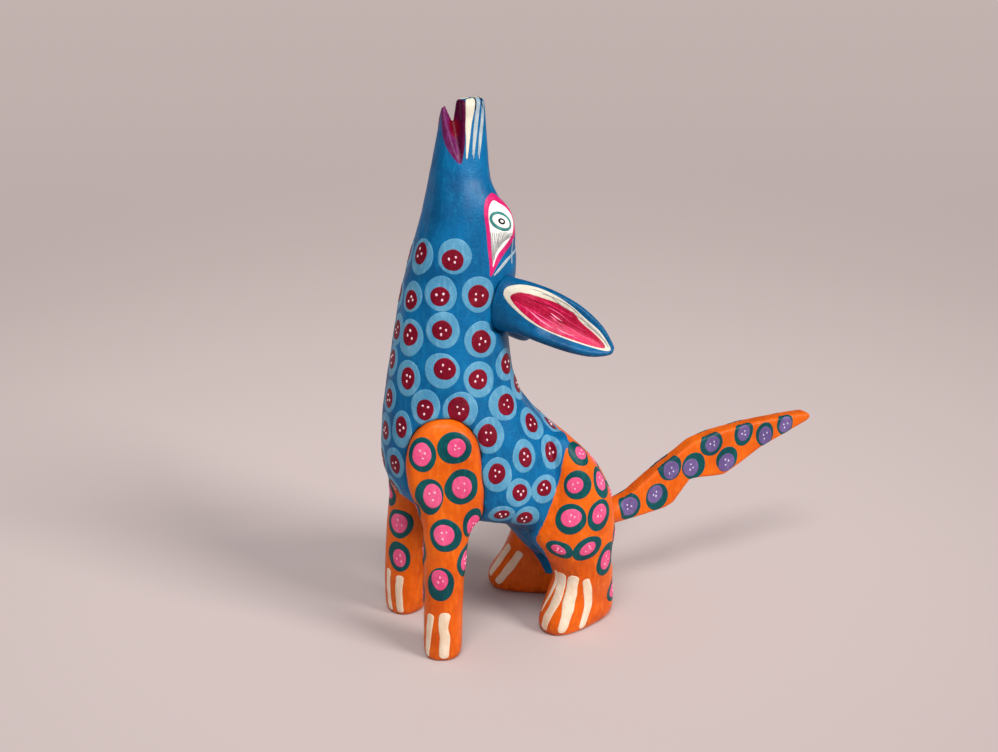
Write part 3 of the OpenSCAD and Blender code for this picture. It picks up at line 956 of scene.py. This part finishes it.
def paint_tail_dots(tail):
    """Rings that end where the blade's edge turns away from the brush."""
    dots = Dots(tail, "tail_dot", ("teal", "purple", "lilac"), (5.2, 5.4), (0.68, 0.66), 0.1)
    dots.add_both([
        (5, 36.8, 1, 1, 0, 0, 0, 1.06), (17.5, 38.6, 0.97, 1.02, -0.18, 0.22, 0, 0.95),
        (22.9, 49.8, 1, 1, 0.1, -0.22, 0, 1.1), (33.8, 48.7, 1.04, 1.02, -0.24, -0.08, 0, 0.93),
        (41.5, 56.9, 0.97, 1, 0.08, -0.06), (49.3, 49.2, 0.95, 0.96, -0.05, -0.28, 0, 1.08),
        (56.6, 59, 0.85, 1), (66.9, 57, 0.8, 0.95, 0.06, -0.12, 0, 1.07),
        (76.6, 60, 0.78, 0.84, 0.06, -0.1, 0, 1.07)])
    dots.finish()


def flipped(points, sign):
    return [Vector((p[0] * sign, p[1], p[2])) for p in points]


def widths(*sizes):
    """Width along a stroke, in steps of equal length."""
    def at(share):
        return np.interp(share, np.linspace(0, 1, len(sizes)), sizes) * MM
    return at


def paint_strokes(carving, name, colour, strokes, lift=0.13):
    coat = Coat(carving, name, colour)
    for path, sizes in strokes:
        coat.stroke([Vector(p) for p in path], widths(*sizes), lift * MM)
    coat.finish()


def paint_patch(carving, name, colour, outline, plane, lift, count, rings):
    """One filled shape, its outline given in mm in a plane."""
    coat = Coat(carving, name, colour)
    coat.patch(closed_line([Vector(p) * MM for p in outline], count), plane, lift * MM, rings)
    coat.finish()


def paint_claws(body, legs):
    paint_strokes(body, "hind_claws", "cream", [
        ([(19.6, -32.1, 24.5), (19.3, -33.6, 14), (18.3, -37.8, 5), (18, -38.3, 1.2)],
         (3.6, 3.4, 2.7)),
        ([(22.7, -28.6, 24), (22.3, -30.5, 11.5), (22.5, -33.6, 1.5)], (3.8, 4.8, 2.8)),
        ([(23.4, -24.3, 22), (22, -22.2, 11), (22.2, -25, 1)], (2.9, 3.9, 2.6)),
        ([(17.6, -32.9, 25), (16.1, -34.2, 15), (14.3, -37.2, 7)], (1.5, 1.4, 0.9)),
        ([(-18.8, -35.3, 19), (-21.1, -38.2, 12.3), (-23.4, -41.3, 5)], (3.2, 3.3, 2.6)),
        ([(-13.9, -32.5, 17.5), (-16.4, -36.4, 10), (-19.4, -40.4, 3)], (3.0, 3.2, 2.6)),
        ([(-24.4, -32.5, 19.5), (-27, -35.5, 12), (-28.5, -38, 4)], (3.0, 3.4, 2.6)),
    ])
    paint_strokes(legs[0], "left_fore_claws", "cream", [
        ([(18.6, -81.9, 18.6), (17.3, -82.5, 9), (16.1, -82.6, 1)], (2.8, 2.4, 2.0)),
        ([(21.4, -77.7, 19.5), (21.1, -78.3, 13.5), (21, -77.9, 8.7), (20.6, -78.2, 1)],
         (4.4, 3.3, 3.8, 3.4)),
        ([(12.4, -82.4, 18), (11.6, -82.2, 9), (11.4, -82, 1)], (3.0, 3.2, 2.6)),
    ])
    paint_strokes(legs[1], "right_fore_claws", "cream", [
        ([(-18.6, -84.5, 19), (-19.8, -84.6, 11), (-19.5, -84, 1.2)], (2.4, 2.3, 2.2)),
        ([(-14.5, -81.8, 17.5), (-15.5, -82.1, 9), (-15.8, -81.5, 1)], (3.1, 2.8, 2.6)),
        ([(-25, -82.6, 18), (-25.6, -82.4, 9), (-25.4, -82, 1)], (3.2, 3.4, 2.8)),
    ])


def paint_eye(body, sign):
    """The almond eye, drawn as seen from the side and a little behind."""
    away = Vector((sign * 0.906, 0.423, 0))
    across = Vector((-0.423 * sign, 0.906, 0))
    origin = Vector((sign * 12.2, -52.7, 150.8)) * MM
    plane = (origin, across, Vector((0, 0, 1)), away)

    outer = [(-0.4, 9), (-3.6, 7), (-4.9, 3), (-4.7, -3), (-4.6, -9), (-4.4, -14), (-4.3, -17.5),
             (-2.2, -14.5), (0.6, -11), (4.4, -7), (7.2, -3), (7.9, 1), (6.4, 4.6), (3.2, 7.6)]
    white = [(-0.6, 6.9), (-2.8, 5.2), (-3.7, 2), (-3.6, -3), (-3.5, -8), (-3.5, -12.6),
             (-3.4, -14.6), (-2, -11.4), (0.8, -8), (3.7, -4.8), (5.5, -1.5), (5.7, 1.4),
             (4.4, 3.9), (1.8, 5.8)]
    side = SIDES[sign]
    paint_patch(body, f"{side}_eye_rim", "magenta", outer, plane, 0.1, 72, 10)
    paint_patch(body, f"{side}_eye_white", "white", white, plane, 0.18, 72, 10)

    def oval(wide, high):
        middle, count, tilt = 0.2, 16, 32
        points = []
        for k in range(count):
            a = 2 * pi * k / count
            x, z = turned(wide * cos(a), high * sin(a), tilt)
            points.append((middle + x, middle + z))
        return points
    for part, size, colour, lift in (
            ("iris", (4.1, 2.9), "sea_green", 0.24), ("iris_white", (3.15, 1.95), "white", 0.3),
            ("pupil", (1.25, 1.0), "black", 0.36), ("glint", (0.6, 0.42), "white", 0.42)):
        paint_patch(body, f"{side}_eye_{part}", colour, oval(*size), plane, lift, 40, 5)
    streaks = []
    for k in range(15):
        top = Vector((-3.4 + 0.56 * k, -3.0 - 0.2 * max(k - 8, 0) + rng.uniform(-0.3, 0.3)))
        tip = Vector((-3.4 + 0.15 * k, -13.4 + 0.46 * k + rng.uniform(-0.4, 0.4)))
        path = [plane_point(body, plane, top.lerp(tip, t) * MM) for t in (0, 0.5, 1)]
        streaks.append((path, (0.34, 0.4, 0.2)))
    paint_strokes(body, f"{side}_eye_streaks", "grey", streaks, 0.215)
    paint_strokes(body, f"{side}_eye_lines", "thin_white", [
        (flipped([(7.3, -45.6, 141), (10.2, -48.4, 139.5), (12, -51.2, 137.3), (13, -55.8, 133.6)],
                 sign), (0.9, 0.9, 1.2, 0.6)),
        (flipped([(10.9, -48, 145), (10.7, -48.2, 136.5)], sign), (0.7, 0.4))], 0.12)


def plane_point(carving, plane, p):
    """The surface point, in mm, under a point drawn in a plane."""
    origin, across, upward, away = plane
    return carving.seen(origin + across * p.x + upward * p.y, away)[0] / MM


def paint_nose(body):
    """White strokes down from the tip on both sides, and a cap with a few dark marks."""
    first, second, marks = [], [], []
    for sign in SIDES:
        first.append((flipped([(1.5, -58.8, 189.8), (4.6, -59.9, 188.4), (5.7, -60.9, 183.6),
                               (6.4, -61.7, 177.3), (7.2, -62.5, 170.8)], sign),
                      (3.3, 3.0, 2.1, 1.2, 0.4)))
        for shift in (-0.45, 0, 0.45):
            end = 170.6 + 2.2 * abs(shift) + rng.uniform(-0.6, 0.6)
            for path, sizes in (
                    ([(3.4, -57.1 + shift, 189.2), (5.3, -57.9 + shift, 185.4),
                      (6.1, -58.9 + shift, 179.8), (6.9, -60.2 + 0.5 * shift, end)],
                     (0.55, 0.5, 0.55, 0.45, 0.2)),
                    ([(3.6, -55.6 + shift, 188.6), (5, -56 + shift, 183.5),
                      (5.9, -57 + shift, 178.4), (6.9, -58.2 + 0.5 * shift, end)],
                     (0.35, 0.5, 0.45, 0.4, 0.2))):
                second.append((flipped(path, sign), sizes))
        for path, sizes in (
                ([(2.5, -58.2, 189.6), (4.9, -58.3, 187.8), (5.3, -58.7, 185.6)], (0.5, 0.4, 0.2)),
                ([(1, -56.2, 189.8), (4.1, -56.1, 188.2), (4.7, -55.6, 186.4)], (0.45, 0.4, 0.2))):
            marks.append((flipped(path, sign), sizes))
    first.append(([(-3, -56.4, 189.6), (0, -56, 190), (3, -56.4, 189.6)], (1.8, 2.4, 1.8)))
    paint_strokes(body, "nose_strokes", "bone", first)
    paint_strokes(body, "nose_streaks", "thin_white", second, 0.11)
    paint_strokes(body, "nose_marks", "black", marks, 0.2)


def paint_ear(ear, sign):
    """A bone white border, a scarlet hollow with a rose lower half, fine streaks, and blush
    strokes that are painted highlights in the hollow.

    They are drawn in a plane that leans with the ear; the far ear is turned further over.
    """
    side = SIDES[sign]
    joint = joint_named(f"{side}_ear_twist")
    x = Vector(joint["axis"]).normalized()
    root = Vector(joint["pos_m"])
    y = Vector((0, 0, 1)).cross(x) * sign
    y.normalize()
    z = x.cross(y) * sign
    if sign < 0:
        y, z = turned(y, z, -31)

    across = x * 0.84 + y * 0.4465 + z * -0.309
    away = (x * 0.543 + y * -0.692 + z * 0.476).normalized()
    upward = away.cross(across) * sign
    plane = (root, across.normalized(), upward.normalized(), away)

    border = [(-1, 2.6), (-0.4, 4.6), (3.3, 7), (9.4, 8.6), (16, 8.9), (22, 8.3), (27.5, 7),
              (34, 5.4), (38.5, 3), (40, 1.6), (38.5, 0.3), (33, -0.9), (24.6, -2.2), (17, -2.7),
              (10.5, -2.6), (4.5, -1.3), (0.2, 0.8)]
    low_rim = [(37.3, 0.6), (33, -0.5), (24.4, -1.8), (17, -2.35), (12, -2.15), (7, -1.2)]
    hollow = [(1.2, 1.9), (2.8, 3.9), (6.5, 5.1), (10.6, 6), (16, 7.1), (20.5, 7.3), (24, 6.7),
              (27, 5.4), (33, 4), (37.3, 2.5), (38.4, 1.4), *low_rim, (2.8, 0.5)]
    lower = [(3, 1), (7, 0.9), (13, 1.5), (20, 2), (27, 2.3), (33, 2.1), (38, 1.3), *low_rim,
             (3.2, 0.3)]
    for colour, outline, lift in (("bone", border, 0.1), ("scarlet", hollow, 0.17),
                                  ("rose", lower, 0.23)):
        paint_patch(ear, f"{side}_ear_{colour}", colour, outline, plane, lift, 96, 12)
    marks = (
        ("crimson", 0.27, (((7, 3.4), (19, 5.2), 0.3), ((9, 0), (24, 0.6), 0.25),
                           ((18, 4.4), (30, 3.2), 0.3), ((14, 1.9), (23, 2.6), 0.35))),
        # The blush strokes are painted highlights: the shine of the gloss in the hollow, painted
        # on.
        ("blush", 0.34, (((9, 0.3), (19, -1), 0.4), ((16, 3.3), (21, 2.7), 0.45),
                         ((20, -0.2), (27, 0.1), 0.3))),
        ("scarlet", 0.28, (((8, 3.2), (20, 3.4), 1.1), ((12, 1.2), (22, 0.9), 0.9),
                           ((24, 3), (32, 2), 0.7), ((5, 2.4), (10, 2.6), 0.8))),
        ("rose", 0.25, (((10, 5.2), (24, 5.4), 1), ((5, 3.9), (12, 4.6), 0.7),
                        ((20, 4.2), (30, 3.4), 0.9))),
        ("pink", 0.32, (((6, 0.6), (20, -0.7), 0.45), ((10, 0.7), (24, 0.3), 0.4),
                        ((14, 4.4), (22, 4), 0.5), ((18, -1), (32, 0), 0.4),
                        ((22, 1.6), (33, 1), 0.4), ((16, 2.3), (20, 1.7), 0.55))),
        ("grey", 0.2, (((6, 6.7), (14, 7.9), 0.25), ((10, 7), (18, 8.2), 0.3),
                       ((14, 7.9), (24, 7), 0.35), ((17, 8.4), (26, 7), 0.3),
                       ((24, 6.6), (33, 4.9), 0.5), ((26, 6.9), (35, 4.6), 0.35),
                       ((28, 5.4), (36, 3.6), 0.45), ((30, 5.6), (37.5, 3.2), 0.6),
                       ((34, 4.3), (39.4, 1.9), 0.5), ((33, 4.4), (38.6, 2.5), 0.4))))
    for colour, lift, lines in marks:
        strokes = []
        for start, end, width in lines:
            bow = rng.uniform(-0.5, 0.5)
            path = []
            for t in (0, 0.35, 0.7, 1):
                p = Vector(start).lerp(Vector(end), t) + Vector((0, bow * sin(pi * t)))
                path.append(plane_point(ear, plane, p * MM))
            strokes.append((path, (0.3 * width, width, 0.8 * width, 0.2 * width)))
        paint_strokes(ear, f"{side}_ear_{colour}_marks", colour, strokes, lift)


make_camera()
make_stage()
make_light()

materials = {name: paint(name, colours) for name, colours in PAINTS.items()}
ear_blue = paint("blue_ear", GROUNDS["night"], (500, 500, 500))
orange = leg_paint()
wood = bare_wood()

body = make_body()
forelegs = [make_foreleg(side, orange) for side in SIDES.values()]
ears = [make_ear(side, ear_blue) for side in SIDES.values()]
tail = make_tail(orange)
for name, owner in (("left_foreleg_peg", "figure"), ("right_foreleg_peg", "figure"),
                    ("left_ear_peg", "left_ear_dowel"), ("right_ear_peg", "right_ear_dowel"),
                    ("tail_peg", "tail_dowel")):
    make_dowel(name, owner, wood)

paint_body_dots(body)
paint_foreleg_dots(forelegs[0], "left",
                   [(12.5, 40.5, 0.8, 0.9), (11.5, 57, 0.8, 0.9), (11, 24, 0.8, 0.9)],
                   [(-67.7, 51.6, 0.75, 0.95), (-69.8, 37.4, 0.85, 1)],
                   [(12, 45, 0.8, 0.9), (13, 24, 0.8, 0.9)])
paint_foreleg_dots(forelegs[1], "right",
                   [(-13.4, 38.8, 1.02, 0.95), (-14.2, 25.3, 0.88, 1), (-18.4, 50.8, 0.9, 1.05)],
                   [], [(-17, 50, 0.9, 0.9), (-22, 37, 0.9, 0.9), (-18, 23, 0.9, 0.9)])
paint_tail_dots(tail)
paint_claws(body, forelegs)
for sign in SIDES:
    paint_eye(body, sign)
paint_nose(body)
for ear, sign in zip(ears, SIDES):
    paint_ear(ear, sign)
